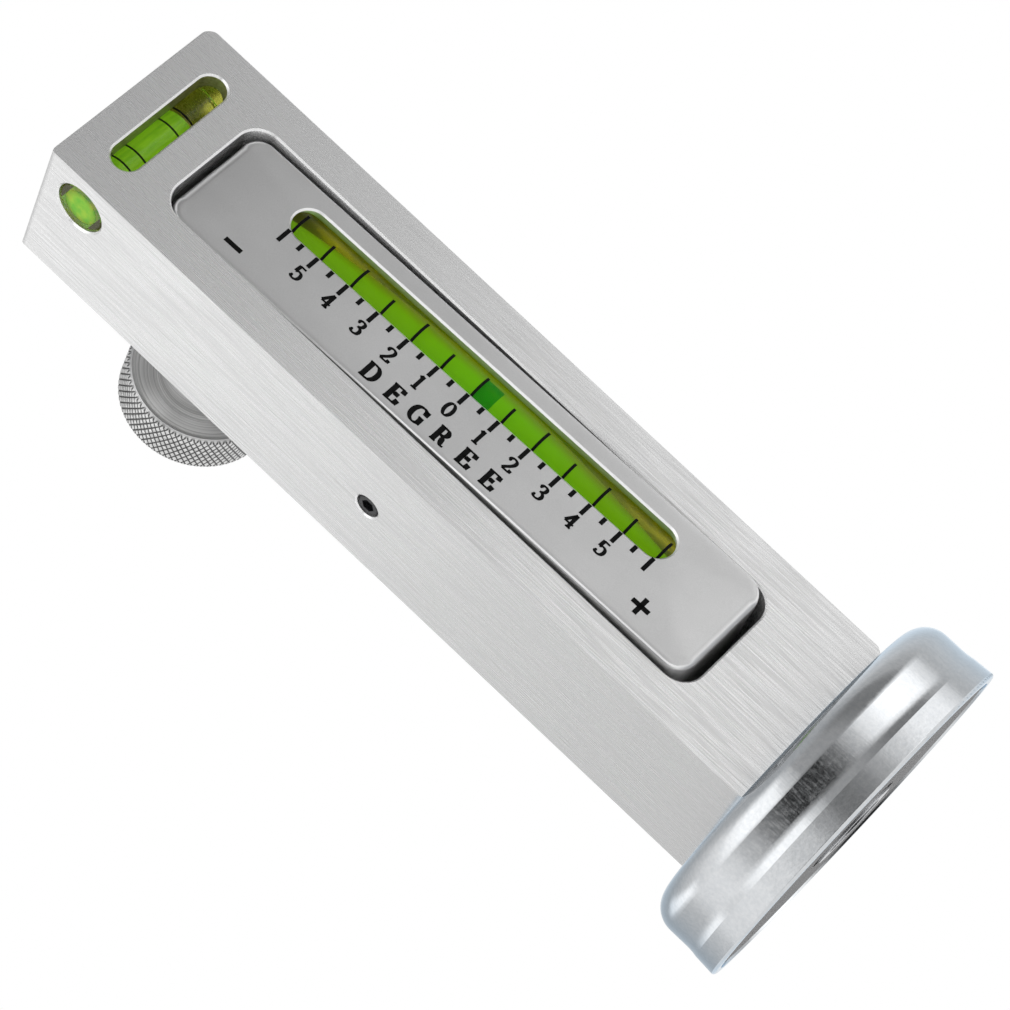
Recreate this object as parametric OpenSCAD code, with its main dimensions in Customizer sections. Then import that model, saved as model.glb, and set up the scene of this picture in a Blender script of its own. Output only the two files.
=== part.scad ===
// Camber caster gauge: a bar on a magnet cup, with a rocking scale plate that carries the long vial,
// a cross-level vial near the top and a knurled zeroing knob on the back.
// Frame: +Z up along the bar, origin at the centre of the magnet's contact face, scale face towards -Y.

/* [Bar] */
// Width of the bar, side to side
bar_w = 34.4; // [34:0.1:40]
// Depth of the bar, front to back
bar_d = 26.5; // [26:0.5:30]
// Height of the bar above the magnet cup
bar_h = 137.75; // [136:0.25:150]
// Radius of the bar's four corners, as its front is looked at
bar_corner_r = 2.4; // [0.8:0.2:3]
// Radius of the bar's other edges, which are only broken
bar_edge_r = 0.3; // [0.1:0.1:0.6]
// Chamfer on the mouths of the pocket, window, slot and holes
mouth_chamfer = 0.3; // [0.1:0.05:0.4]

/* [Pocket and scale plate] */
// Width of the pocket in the bar's front
pocket_w = 21.4; // [21:0.2:22]
// Length of the pocket
pocket_len = 105.2; // [104:0.1:106]
// Corner radius of the pocket
pocket_r = 4; // [3:0.5:6]
// Depth of the pocket
pocket_depth = 17.8; // [17.4:0.2:18.4]
// Gap along each long side of the plate
side_gap = 0.45; // [0.3:0.05:0.6]
// Gap at each end of the plate
end_gap = 1.2; // [1:0.1:2]
// Thickness of the plate
plate_t = 15; // [14:0.1:15.4]
// Radius of the plate's front edge, all round
plate_edge_r = 1.6; // [0.6:0.1:2]
// Tilt of the plate at rest: its upper end is sunk, in degrees
rest_tilt = 1.75; // [0:0.25:2]

/* [Long vial] */
// Outer diameter of the long vial
vial_d = 8.4; // [8:0.1:8.6]
// Length of the long vial
vial_len = 86; // [84:1:88]
// Width of the viewing slot
slot_w = 5.9; // [5:0.1:6.4]
// Length of the viewing slot
slot_len = 75.3; // [74:0.1:78]
// Radius of the barrel's long arc: one degree moves the bubble 6.07 mm
barrel_arc_r = 348; // [340:1:420]
// Radius of the barrel in its middle
barrel_mid_r = 3.5; // [3.4:0.05:3.6]

/* [Cross-level vial] */
// Outer diameter of the cross-level vial
level_d = 8.4; // [8:0.1:8.6]
// Width of its viewing window
window_w = 23.2; // [20:0.2:24]
// Height of its viewing window
window_h = 5; // [4:0.1:6]

/* [Knob] */
// Diameter over the knurl
knob_d = 24.8; // [22:0.2:26]
// Width of the knurled head
knob_t = 8.2; // [6:0.2:10]
// Diameter of the hub
hub_d = 14.4; // [13:0.2:16]
// Length of the hub in front of the head
hub_len = 7.5; // [5:0.5:8]
// Number of knurl grooves each way round
knurl_count = 40; // [24:2:48]

/* [Magnet] */
// Diameter of the cup's flared lip
cup_d = 59.8; // [58:0.2:64]
// Height of the cup
cup_h = 13.6; // [13.4:0.1:16]
// Wall of the cup
cup_wall = 1.6; // [1.2:0.1:2]
// Radius of the cup's shoulder
shoulder_r = 4.5; // [3:0.5:5]

/* [Hidden] */
$fn = 64;
eps = 0.01;

// Bar
front_y = -bar_d / 2;
back_y = bar_d / 2;
bar_top = cup_h + bar_h;
floor_y = front_y + pocket_depth;
pocket_z = 82.65;

// Pivot of the plate: a cross pin behind the vial, level with the scale's zero
pivot_y = -0.2;
pivot_z = 83.2;
pin_d = 2.5;
pin_play = 0.03;
set_screw_d = 4;
set_screw_len = 4;
set_screw_sink = 0.3;
set_screw_hex = 2;
set_screw_run = 0.5;
screw_edge = 0.35;
pin_end_gap = 0.1;
hole_play = 0.05;

// Plate
plate_w = pocket_w - 2 * side_gap;
plate_len = pocket_len - 2 * end_gap;
plate_r = pocket_r - side_gap;
plate_back_y = front_y + plate_t;

// Long vial, in the plate's own untilted frame
vial_x = 4.1;
vial_cover = 0.45;
vial_y = front_y + vial_cover + vial_d / 2;
vial_z = 82.85;
vial_bore_d = vial_d + 0.1;
vial_seat = 0.2;
barrel_half = 40;
fill_neck_run = 1;
fill_neck_r = 1.5;
fill_plug_len = 2.5;
liquid_gap = 0.05;
camber_bubble_r = 1.0;
camber_bubble_half = 1.7;
bubble_film = 0.15;
channel_play = 0.25;
camber_bubble_rest = -0.28;
camber_bubble_arc = barrel_arc_r - bubble_film - camber_bubble_r;
camber_channel_end = 6.0;

// Cross-level vial
level_y = -6.1;
level_z = bar_top - 7.45;
window_z = bar_top - 7.85;
level_end_x = 13.2;
level_sink = 0.4;
level_bore_d = level_d + 0.2;
level_bore_run = 0.3;
level_mid_x = -3.2;
level_arc_r = 120;
level_mid_r = 3.1;
level_fill_x0 = -14.2;
level_fill_x1 = 3.5;
level_plug_r = 3.05;
level_bubble_r = 1.2;
level_bubble_half = 3.0;
level_bubble_arc = level_arc_r - bubble_film - level_bubble_r;
level_channel_end = 3.05;

// Adjuster: knob, stud and pad on one axis through the bar's back wall
adjuster_x = -5.25;
adjuster_z = 120;
stud_d = 6;
bush_d = 9;
knob_face_y = 24.5;
hub_face_y = knob_face_y - hub_len;
knob_back_y = knob_face_y + knob_t;
knob_chamfer = 1;
knob_dish = 1.6;
knob_dish_r = 11;
knurl_depth = 0.45;
knurl_slant = 30;
knurl_run = 1.4;
hub_edge = 0.5;
stud_tip = 0.6;
stem_play = 0.3;
stud_end_sink = 0.7;
pad_d = 4;
pad_head = 1.5;
pad_dome_r = 6;
pad_stem_d = 2;
pad_stem_len = 3;
pad_gap = 0.05;
pad_apex_y = back_face_y(adjuster_z) + pad_gap;
grub_d = 4;
grub_len = 3.9;
grub_sink = 0.1;
grub_y = hub_face_y + 3.5;

// Return spring behind the plate's lower end
spring_z = 40;
spring_d = 5;
spring_wire = 0.7;
spring_turns = 5;
spring_hole_d = 5.8;
spring_floor_hole = 4;
spring_plate_hole = 4.2;
spring_seat_gap = [0.2, 0.05];
spring_even_share = 0.45;

// Magnet
cup_top_hole_d = 6.4;
lip_r = cup_d / 2;
wall_r = lip_r - 0.45;
flare_z = 5.8;
flare_r = 9;
crease_z = 3.8;
crease_x = wall_r + flare_r - sqrt(flare_r * flare_r - (flare_z - crease_z) * (flare_z - crease_z));
lip_edge_r = 0.5;
magnet_sink = 0.3;
magnet_gap = 0.4;
pole_d = 15;
pole_gap = 1;
screw_d = 6;
screw_head_d = 10;
screw_head_h = 6;
screw_head_sink = 0.8;
screw_hex = 5;
screw_len = 19;
washer_t = 1.2;
tap_run = 1;
washer_gap = 0.8;
counterbore_d = 10.6;
counterbore_z = screw_head_sink + screw_head_h + washer_t;

// Y of the plate's tilted back face at height z
function back_face_y(z) =
    pivot_y + (plate_back_y - pivot_y) / cos(rest_tilt) + (z - pivot_z) * tan(rest_tilt);

// Half of a barrel's outline: its radius falls off along its length by the long arc's sag
function barrel_r(s, mid_r, arc_r) = mid_r - arc_r + sqrt(arc_r * arc_r - s * s);

// Tilts the plate and all it carries about the pivot pin
module rocker() {
    translate([0, pivot_y, pivot_z])
        rotate([-rest_tilt, 0, 0])
            translate([0, -pivot_y, -pivot_z])
                children();
}

// Rectangle with round corners, centred
module rounded_rect(w, h, r) {
    square([w - 2 * r, h], center = true);
    square([w, h - 2 * r], center = true);
    for (x = [-1, 1], y = [-1, 1])
        translate([x * (w / 2 - r), y * (h / 2 - r)])
            circle(r);
}

// Round-ended slot outline, centred, long way along Y
module slot_outline(w, len) {
    square([w, len - w], center = true);
    for (y = [-1, 1])
        translate([0, y * (len - w) / 2])
            circle(d = w);
}

// Stands a flat outline up, so that it extrudes along +Y from the plane y
module along_y(y, depth) {
    translate([0, y, 0])
        rotate([90, 0, 0])
            mirror([0, 0, 1])
                linear_extrude(depth)
                    children();
}

// Block with four corners rounded as its front is looked at, and its other edges broken: the common
// part of three rounded prisms
module rounded_block(w, d, h, corner_r, edge_r) {
    intersection() {
        translate([0, 0, -h / 2])
            linear_extrude(h)
                rounded_rect(w, d, edge_r);
        along_y(-d / 2, d)
            rounded_rect(w, h, corner_r);
        translate([-w / 2, 0, 0])
            rotate([90, 0, 90])
                linear_extrude(w)
                    rounded_rect(d, h, edge_r);
    }
}

// Turns what is drawn downwards from a face along +Z to lie along +Y from the plane y
module from_face(y) {
    translate([0, y, 0])
        rotate([-90, 0, 0])
            children();
}

// Section of a slab whose front edge, at the bottom, is rounded
module slab_section(w, t, r) {
    translate([-w / 2, r])
        square([w, t - r]);
    translate([r - w / 2, 0])
        square([w - 2 * r, t]);
    for (x = [-1, 1])
        translate([x * (w / 2 - r), r])
            circle(r);
}

// Slab with round corners and its front edge rounded all round: two crossing bars and four turned corners
module rounded_slab(w, h, t, r, edge_r) {
    rotate([90, 0, 0])
        linear_extrude(h - 2 * r, center = true)
            slab_section(w, t, edge_r);
    rotate([90, 0, 90])
        linear_extrude(w - 2 * r, center = true)
            slab_section(h, t, edge_r);
    for (x = [-1, 1], y = [-1, 1])
        translate([x * (w / 2 - r), y * (h / 2 - r), 0])
            rotate_extrude()
                intersection() {
                    slab_section(2 * r, t, edge_r);
                    square([r, t]);
                }
}

// Section of a chamfer cut, wide at the bottom
module chamfer_section(w, c) {
    polygon([[-w / 2 - c - eps, -eps], [w / 2 + c + eps, -eps], [w / 2, c], [-w / 2, c]]);
}

// Chamfer cut round a mouth with round corners; a slot's corners meet, so it has no short straight sides
module chamfer_cut(w, h, r, c) {
    rotate([90, 0, 0])
        linear_extrude(h - 2 * r, center = true)
            chamfer_section(w, c);
    if (w > 2 * r)
        rotate([90, 0, 90])
            linear_extrude(w - 2 * r, center = true)
                chamfer_section(h, c);
    for (x = [-1, 1], y = [-1, 1])
        translate([x * (w / 2 - r), y * (h / 2 - r), -eps])
            cylinder(r1 = r + c + eps, r2 = r, h = c + eps);
}

// Cylinder along +Y or +X from a point
module rod_y(x, y, z, d, len) {
    translate([x, y, z])
        rotate([-90, 0, 0])
            cylinder(d = d, h = len);
}

module rod_x(x, y, z, d, len) {
    translate([x, y, z])
        rotate([0, 90, 0])
            cylinder(d = d, h = len);
}

// Solid barrel along +Z: the space inside a ground vial
module barrel(mid_r, arc_r, s0, s1, steps = 16) {
    rotate_extrude()
        polygon(concat(
            [[0, s0]],
            [for (i = [0:steps]) let (s = s0 + (s1 - s0) * i / steps) [barrel_r(s, mid_r, arc_r), s]],
            [[0, s1]]
        ));
}

// Round bar bent to an arc about the X axis, its middle towards -Y
module arc_rod(arc_r, r, half_a) {
    rotate([90, 0, 0])
        rotate([0, 90, 0])
            rotate([0, 0, 180 - half_a])
                rotate_extrude(angle = 2 * half_a)
                    translate([arc_r, 0])
                        circle(r);
}

// Bubble: a capsule on that arc at angle a, its long way along the arc
module capsule(arc_r, r, half_len, a) {
    rotate([-a, 0, 0])
        translate([0, -arc_r, 0])
            rotate_extrude()
                intersection() {
                    slot_outline(2 * r, 2 * half_len);
                    translate([0, -half_len])
                        square([r, 2 * half_len]);
                }
}

// Chamfer cut on a round hole in the bar's left (-1) or right (1) side
module hole_chamfer(side, y, z, d) {
    translate([side * bar_w / 2, y, z])
        rotate([0, -90 * side, 0])
            translate([0, 0, -eps])
                cylinder(
                    r1 = d / 2 + mouth_chamfer + eps,
                    r2 = d / 2,
                    h = mouth_chamfer + eps
                );
}

module body_bar() {
    color([0.80, 0.81, 0.82])
        difference() {
            translate([0, 0, cup_h + bar_h / 2])
                rounded_block(bar_w, bar_d, bar_h, bar_corner_r, bar_edge_r);
            // pocket for the scale plate
            translate([0, 0, pocket_z])
                along_y(front_y - eps, pocket_depth + eps)
                    rounded_rect(pocket_w, pocket_len, pocket_r);
            translate([0, 0, pocket_z])
                from_face(front_y)
                    chamfer_cut(pocket_w, pocket_len, pocket_r, mouth_chamfer);
            // cross-level bore from the left side, and its window in the front
            rod_x(-bar_w / 2 - eps, level_y, level_z, level_bore_d, bar_w / 2 + level_end_x + level_bore_run);
            hole_chamfer(-1, level_y, level_z, level_bore_d);
            translate([0, 0, window_z]) {
                along_y(front_y - eps, level_y - front_y)
                    rotate([0, 0, 90])
                        slot_outline(window_h, window_w);
                from_face(front_y)
                    rotate([0, 0, 90])
                        chamfer_cut(window_h, window_w, window_h / 2, mouth_chamfer);
            }
            // pivot pin and its set screws
            rod_x(-bar_w / 2 - eps, pivot_y, pivot_z, pin_d + hole_play / 2, bar_w + 2 * eps);
            for (side = [-1, 1]) {
                translate([side * (bar_w / 2 - set_screw_sink - set_screw_len / 2 + set_screw_run), 0, 0])
                    translate([0, pivot_y, pivot_z])
                        rotate([0, 90, 0])
                            cylinder(
                                d = set_screw_d + 2 * hole_play,
                                h = set_screw_len + 2 * set_screw_run,
                                center = true
                            );
                hole_chamfer(side, pivot_y, pivot_z, set_screw_d);
            }
            // bush for the stud
            rod_y(adjuster_x, floor_y - eps, adjuster_z, bush_d, back_y - floor_y + 2 * eps);
            // seat of the return spring
            rod_y(0, floor_y - eps, spring_z, spring_hole_d, spring_floor_hole + eps);
            // tapped hole for the magnet's screw
            translate([0, 0, cup_h - eps])
                cylinder(
                    d = screw_d + 2 * hole_play,
                    h = screw_len - (cup_h - counterbore_z) + washer_t + tap_run
                );
        }
}

module scale_plate() {
    color([0.72, 0.73, 0.74])
        rocker()
            difference() {
                translate([0, 0, pocket_z])
                    from_face(front_y)
                        rounded_slab(plate_w, plate_len, plate_t, plate_r, plate_edge_r);
                // bore for the vial, from the upper end
                translate([vial_x, vial_y, vial_z - vial_len / 2 - vial_seat])
                    cylinder(d = vial_bore_d, h = plate_len);
                // viewing slot
                translate([vial_x, 0, vial_z]) {
                    along_y(front_y - eps, vial_y - front_y)
                        slot_outline(slot_w, slot_len);
                    from_face(front_y)
                        chamfer_cut(slot_w, slot_len, slot_w / 2, mouth_chamfer);
                }
                // bore for the pivot pin
                rod_x(-plate_w, pivot_y, pivot_z, pin_d + 2 * pin_play, 2 * plate_w);
                // seat of the return spring
                rod_y(0, plate_back_y - spring_plate_hole, spring_z, spring_hole_d, spring_plate_hole + eps);
            }
}

module camber_vial_tube() {
    color([0.75, 0.85, 0.35, 0.6])
        rocker()
            translate([vial_x, vial_y, vial_z])
                difference() {
                    cylinder(d = vial_d, h = vial_len, center = true);
                    barrel(barrel_mid_r, barrel_arc_r, -barrel_half, barrel_half);
                    translate([0, 0, barrel_half - fill_neck_run])
                        cylinder(r = fill_neck_r, h = vial_len / 2 - barrel_half + fill_neck_run + eps);
                }
}

// Place of the long arc's centre, behind the vial
module camber_arc_frame() {
    rocker()
        translate([vial_x, vial_y - barrel_mid_r + barrel_arc_r, vial_z])
            children();
}

module camber_vial_liquid() {
    s0 = -barrel_half + liquid_gap;
    s1 = barrel_half - fill_neck_run;
    color([0.35, 0.65, 0.05, 0.8])
        difference() {
            rocker()
                translate([vial_x, vial_y, vial_z])
                    barrel(barrel_mid_r - liquid_gap, barrel_arc_r, s0, s1);
            // way of the bubble along the barrel's front
            camber_arc_frame()
                arc_rod(camber_bubble_arc, camber_bubble_r + channel_play, camber_channel_end);
        }
}

module camber_vial_plug() {
    color([0.80, 0.82, 0.55])
        rocker()
            translate([vial_x, vial_y, vial_z + vial_len / 2 - fill_plug_len])
                cylinder(r = fill_neck_r - hole_play, h = fill_plug_len);
}

module camber_bubble() {
    color([0.15, 0.55, 0.10, 0.6])
        camber_arc_frame()
            capsule(camber_bubble_arc, camber_bubble_r, camber_bubble_half, camber_bubble_rest);
}

module level_vial_tube() {
    left_x = -bar_w / 2 + level_sink;
    x0 = level_fill_x0 - level_mid_x;
    x1 = level_fill_x1 - level_mid_x;
    color([0.75, 0.85, 0.35, 0.6])
        difference() {
            rod_x(left_x, level_y, level_z, level_d, level_end_x - left_x);
            translate([level_mid_x, level_y, level_z])
                rotate([0, 90, 0])
                    barrel(level_mid_r, level_arc_r, x0, x1);
            rod_x(left_x - eps, level_y, level_z, 2 * level_plug_r, level_fill_x0 - left_x + eps);
        }
}

// Place of the cross-level arc's centre, below the vial, turned so that its bubble lies towards +Z
module level_arc_frame() {
    translate([level_mid_x, level_y, level_z + level_mid_r - level_arc_r])
        rotate([-90, 0, 90])
            children();
}

module level_vial_liquid() {
    x0 = level_fill_x0 + liquid_gap - level_mid_x;
    x1 = level_fill_x1 - liquid_gap - level_mid_x;
    color([0.35, 0.65, 0.05, 0.8])
        difference() {
            translate([level_mid_x, level_y, level_z])
                rotate([0, 90, 0])
                    barrel(level_mid_r - liquid_gap, level_arc_r, x0, x1);
            level_arc_frame()
                arc_rod(level_bubble_arc, level_bubble_r + channel_play, level_channel_end);
        }
}

module level_vial_plug() {
    left_x = -bar_w / 2 + level_sink;
    color([0.60, 0.75, 0.20])
        rod_x(left_x, level_y, level_z, 2 * (level_plug_r - hole_play), level_fill_x0 - left_x);
}

module level_bubble() {
    color([0.55, 0.80, 0.25, 0.6])
        level_arc_frame()
            capsule(level_bubble_arc, level_bubble_r, level_bubble_half, 0);
}

module pivot_pin() {
    half = bar_w / 2 - set_screw_sink - set_screw_len - pin_end_gap;
    color([0.62, 0.63, 0.65])
        rod_x(-half, pivot_y, pivot_z, pin_d, 2 * half);
}

// Headless screw along +Z with its hex socket at the bottom, pointing down
module headless_screw(d, len, hex) {
    r = d / 2;
    difference() {
        rotate_extrude()
            polygon([
                [0, 0],
                [r - screw_edge, 0],
                [r, screw_edge],
                [r, len - screw_edge],
                [r - screw_edge, len],
                [0, len],
            ]);
        translate([0, 0, -eps])
            cylinder(d = hex / cos(30), h = len / 2, $fn = 6);
    }
}

module pivot_set_screws() {
    color([0.10, 0.10, 0.11])
        for (side = [-1, 1])
            translate([side * (bar_w / 2 - set_screw_sink), pivot_y, pivot_z])
                rotate([0, -90 * side, 0])
                    headless_screw(set_screw_d, set_screw_len, set_screw_hex);
}

// Diamond knurl: two families of V grooves that slant opposite ways across the head's rim
module knurl_grooves() {
    for (way = [-1, 1], i = [0:knurl_count - 1])
        rotate([0, 0, 360 * i / knurl_count])
            translate([knob_d / 2 - knurl_depth, 0, knob_t / 2])
                rotate([way * knurl_slant, 0, 0])
                    rotate([0, 0, -90])
                        linear_extrude(knob_t * knurl_run, center = true)
                            polygon([[0, 0], [1, 1], [-1, 1]]);
}

// Knob profile turned about its axis: hub, dished near face, chamfered head and a bore for the stud
module adjuster_knob() {
    r = knob_d / 2;
    bore_r = stud_d / 2 + hole_play;
    color([0.66, 0.67, 0.68])
        translate([adjuster_x, knob_face_y, adjuster_z])
            rotate([-90, 0, 0])
                difference() {
                    rotate_extrude()
                        polygon([
                            [bore_r, -hub_len],
                            [hub_d / 2 - hub_edge, -hub_len],
                            [hub_d / 2, -hub_len + hub_edge],
                            [hub_d / 2, knob_dish],
                            [knob_dish_r, 0],
                            [r - knob_chamfer, 0],
                            [r, knob_chamfer],
                            [r, knob_t - knob_chamfer],
                            [r - knob_chamfer, knob_t],
                            [bore_r, knob_t],
                        ]);
                    knurl_grooves();
                    translate([0, 0, grub_y - knob_face_y])
                        rotate([0, 90, 0])
                            cylinder(d = grub_d + 2 * hole_play, h = hub_d);
                }
}

// Stud from the pad's seat to the knob's back, with an axial hole for the pad's stem
module adjuster_stud() {
    y0 = pad_apex_y + pad_head + pad_gap;
    len = knob_back_y - stud_end_sink - y0;
    r = stud_d / 2;
    color([0.58, 0.59, 0.61])
        translate([adjuster_x, y0, adjuster_z])
            rotate([-90, 0, 0])
                difference() {
                    rotate_extrude()
                        polygon([
                            [0, 0],
                            [r - stud_tip, 0],
                            [r, stud_tip],
                            [r, len - stud_tip],
                            [r - stud_tip, len],
                            [0, len],
                        ]);
                    translate([0, 0, -eps])
                        cylinder(d = pad_stem_d + 2 * hole_play, h = pad_stem_len + stem_play);
                }
}

module knob_grub_screw() {
    color([0.10, 0.10, 0.11])
        translate([adjuster_x + hub_d / 2 - grub_sink, grub_y, adjuster_z])
            rotate([0, -90, 0])
                headless_screw(grub_d, grub_len, set_screw_hex);
}

module thread_bush() {
    color([0.78, 0.65, 0.35])
        translate([adjuster_x, floor_y, adjuster_z])
            rotate([-90, 0, 0])
                difference() {
                    cylinder(d = bush_d - hole_play, h = back_y - floor_y);
                    translate([0, 0, -eps])
                        cylinder(d = stud_d + 2 * hole_play, h = back_y - floor_y + 2 * eps);
                }
}

// Domed pad that turns on its stem inside the stud, so that it only slides on the plate
module push_pad() {
    color([0.90, 0.88, 0.80])
        translate([adjuster_x, pad_apex_y, adjuster_z])
            rotate([-90, 0, 0]) {
                intersection() {
                    cylinder(d = pad_d, h = pad_head);
                    translate([0, 0, pad_dome_r])
                        sphere(pad_dome_r);
                }
                translate([0, 0, pad_head - eps])
                    cylinder(d = pad_stem_d, h = pad_stem_len);
            }
}

// Helical spring along +Y: a six-sided tube swept along a helix, closer together at both ends
spring_y0 = back_face_y(spring_z) - spring_plate_hole + spring_seat_gap[0];
spring_y1 = floor_y + spring_floor_hole - spring_seat_gap[1];
spring_rings = 8;
spring_sides = 6;

function ease(t) = t * t * (3 - 2 * t);

function spring_centre(t) =
    let (
        a = 360 * spring_turns * t,
        r = (spring_d - spring_wire) / 2,
        rise = spring_y1 - spring_y0 - spring_wire,
        share = spring_even_share * t + (1 - spring_even_share) * ease(t)
    ) [r * cos(a), spring_y0 + spring_wire / 2 + rise * share, r * sin(a)];

function spring_ring(t) =
    let (a = 360 * spring_turns * t)
    [for (k = [0:spring_sides - 1])
        let (b = 360 * k / spring_sides)
        spring_centre(t) + spring_wire / 2 * [cos(b) * cos(a), sin(b), cos(b) * sin(a)]];

module return_spring() {
    n = spring_turns * spring_rings;
    points = [for (i = [0:n]) each spring_ring(i / n)];
    walls = [for (i = [0:n - 1], k = [0:spring_sides - 1])
        let (
            p = i * spring_sides + k,
            p2 = i * spring_sides + (k + 1) % spring_sides
        )
        each [[p, p2, p2 + spring_sides], [p, p2 + spring_sides, p + spring_sides]]];
    first = [for (k = [1:spring_sides - 2]) [0, k + 1, k]];
    end = n * spring_sides;
    last = [for (k = [1:spring_sides - 2]) [end, end + k, end + k + 1]];
    // least gap between neighbouring turns
    gaps = [for (i = [0:n - spring_rings])
        norm(spring_centre(i / n) - spring_centre((i + spring_rings) / n)) - spring_wire];
    echo(least_spring_gap = min(gaps));
    color([0.55, 0.56, 0.58])
        translate([0, 0, spring_z])
            polyhedron(points, concat(walls, first, last));
}

// Half section of a cap: a disc's edge, rounded at the top
module cap_section(r, h, edge_r) {
    square([r, h - edge_r]);
    square([r - edge_r, h]);
    translate([r - edge_r, h - edge_r])
        circle(edge_r);
}

// Half section of the cup's outside: straight wall, concave flare, crease, and a lip with a rounded rim
module cup_outside() {
    translate([0, crease_z])
        cap_section(wall_r, cup_h - crease_z, shoulder_r);
    difference() {
        translate([0, crease_z])
            square([crease_x, flare_z - crease_z]);
        translate([wall_r + flare_r, flare_z])
            circle(flare_r, $fn = 256);
    }
    polygon([[0, lip_edge_r], [lip_r, lip_edge_r], [crease_x, crease_z], [0, crease_z]]);
    square([lip_r - lip_edge_r, crease_z]);
    translate([lip_r - lip_edge_r, lip_edge_r])
        circle(lip_edge_r);
}

// Half section of its inside: it follows the outside one wall thickness in
module cup_inside() {
    translate([0, -eps])
        cap_section(wall_r - cup_wall, cup_h - cup_wall + eps, shoulder_r - cup_wall);
    polygon([[0, -eps], [lip_r - cup_wall, -eps], [wall_r - cup_wall, flare_z], [0, flare_z]]);
}

module magnet_cup() {
    color([0.70, 0.74, 0.78])
        rotate_extrude($fn = 128)
            difference() {
                cup_outside();
                cup_inside();
                square([cup_top_hole_d / 2, cup_h + eps]);
            }
}

module ring_magnet() {
    outer = wall_r - cup_wall - magnet_gap;
    inner = pole_d / 2 + pole_gap;
    top = cup_h - cup_wall;
    edge = shoulder_r - cup_wall;
    color([0.20, 0.20, 0.21])
        rotate_extrude($fn = 128)
            polygon([
                [inner, magnet_sink],
                [outer, magnet_sink],
                [outer, top - edge],
                [outer - edge, top],
                [inner, top],
            ]);
}

module centre_pole() {
    color([0.66, 0.68, 0.70])
        difference() {
            cylinder(d = pole_d, h = cup_h - cup_wall);
            translate([0, 0, -eps])
                cylinder(d = counterbore_d, h = counterbore_z + eps);
            cylinder(d = cup_top_hole_d, h = cup_h);
        }
}

module magnet_screw() {
    color([0.12, 0.12, 0.13])
        translate([0, 0, screw_head_sink])
            difference() {
                union() {
                    cylinder(d = screw_head_d, h = screw_head_h);
                    cylinder(d = screw_d, h = screw_head_h + screw_len);
                }
                translate([0, 0, -eps])
                    cylinder(d = screw_hex / cos(30), h = screw_head_h / 2, $fn = 6);
            }
}

module lock_washer() {
    color([0.60, 0.61, 0.63])
        translate([0, 0, screw_head_sink + screw_head_h])
            difference() {
                cylinder(d = screw_head_d, h = washer_t);
                translate([0, 0, -eps])
                    cylinder(d = cup_top_hole_d, h = washer_t + 2 * eps);
                translate([0, -washer_gap / 2, -eps])
                    cube([screw_head_d, washer_gap, washer_t + 2 * eps]);
            }
}

body_bar();
scale_plate();
camber_vial_tube();
camber_vial_liquid();
camber_vial_plug();
camber_bubble();
level_vial_tube();
level_vial_liquid();
level_vial_plug();
level_bubble();
pivot_pin();
pivot_set_screws();
adjuster_knob();
adjuster_stud();
knob_grub_screw();
thread_bush();
push_pad();
return_spring();
magnet_cup();
ring_magnet();
centre_pole();
magnet_screw();
lock_washer();
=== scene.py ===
import math

import bmesh
import bpy
import numpy as np
from mathutils import Matrix


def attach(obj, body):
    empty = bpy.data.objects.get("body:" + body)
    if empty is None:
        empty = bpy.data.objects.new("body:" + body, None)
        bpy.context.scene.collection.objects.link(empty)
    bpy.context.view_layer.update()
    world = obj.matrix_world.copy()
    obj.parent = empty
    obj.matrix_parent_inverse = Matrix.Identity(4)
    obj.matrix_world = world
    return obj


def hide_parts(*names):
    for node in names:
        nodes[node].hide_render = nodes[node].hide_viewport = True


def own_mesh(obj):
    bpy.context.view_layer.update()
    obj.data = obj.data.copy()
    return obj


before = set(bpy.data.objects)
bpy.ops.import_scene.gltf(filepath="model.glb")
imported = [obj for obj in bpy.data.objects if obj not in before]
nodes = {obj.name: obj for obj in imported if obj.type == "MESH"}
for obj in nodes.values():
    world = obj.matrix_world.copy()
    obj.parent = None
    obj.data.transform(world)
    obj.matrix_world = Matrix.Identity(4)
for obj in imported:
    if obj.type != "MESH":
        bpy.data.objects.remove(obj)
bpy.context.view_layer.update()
MM = 0.001


# ---------------------------------------------------------------------------------------------
# Studio: a pale floor that rises into a white sweep, three soft boxes, and a room bright and dark
# by direction for metal and acrylic to mirror. The camera looks up a little from just below the
# floor's level, so the floor is one-sided and is left open under the magnet.
def stood(thing, right, above, back, place):
    """Puts an object in its place in metres, its own X, Y and Z turned to three directions."""
    thing.matrix_world = Matrix([*zip(right, above, back, place), (0, 0, 0, 1)])
aim = math.radians(30.570)  # right of straight ahead
pitch = math.radians(7.779)  # upwards
roll = math.radians(46.886)
ahead = np.array([math.sin(aim) * math.cos(pitch), math.cos(aim) * math.cos(pitch), math.sin(pitch)])
level = np.array([math.cos(aim), -math.sin(aim), 0.0])
upright = np.cross(level, ahead)
right = math.cos(roll) * level - math.sin(roll) * upright
above = math.sin(roll) * level + math.cos(roll) * upright

camera = bpy.data.objects.new("camera", bpy.data.cameras.new("camera"))
bpy.context.scene.collection.objects.link(camera)
stood(camera, right, above, -ahead, (-0.32734, -0.55286, -0.01807))
camera.data.sensor_fit = "HORIZONTAL"
camera.data.sensor_width = 36.0
camera.data.lens = 156.43
camera.data.clip_start = 0.01
bpy.context.scene.camera = camera
bpy.context.scene.view_settings.view_transform = "Standard"


def grid_faces(rows, columns, wrap):
    """Quads between neighbouring points of a grid; with wrap the last column joins the first."""
    i, j = np.meshgrid(np.arange(rows - 1), np.arange(columns if wrap else columns - 1), indexing="ij")
    k = (j + 1) % columns
    corners = [i * columns + j, i * columns + k, (i + 1) * columns + k, (i + 1) * columns + j]
    return np.stack(corners, -1).reshape(-1, 4)


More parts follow.
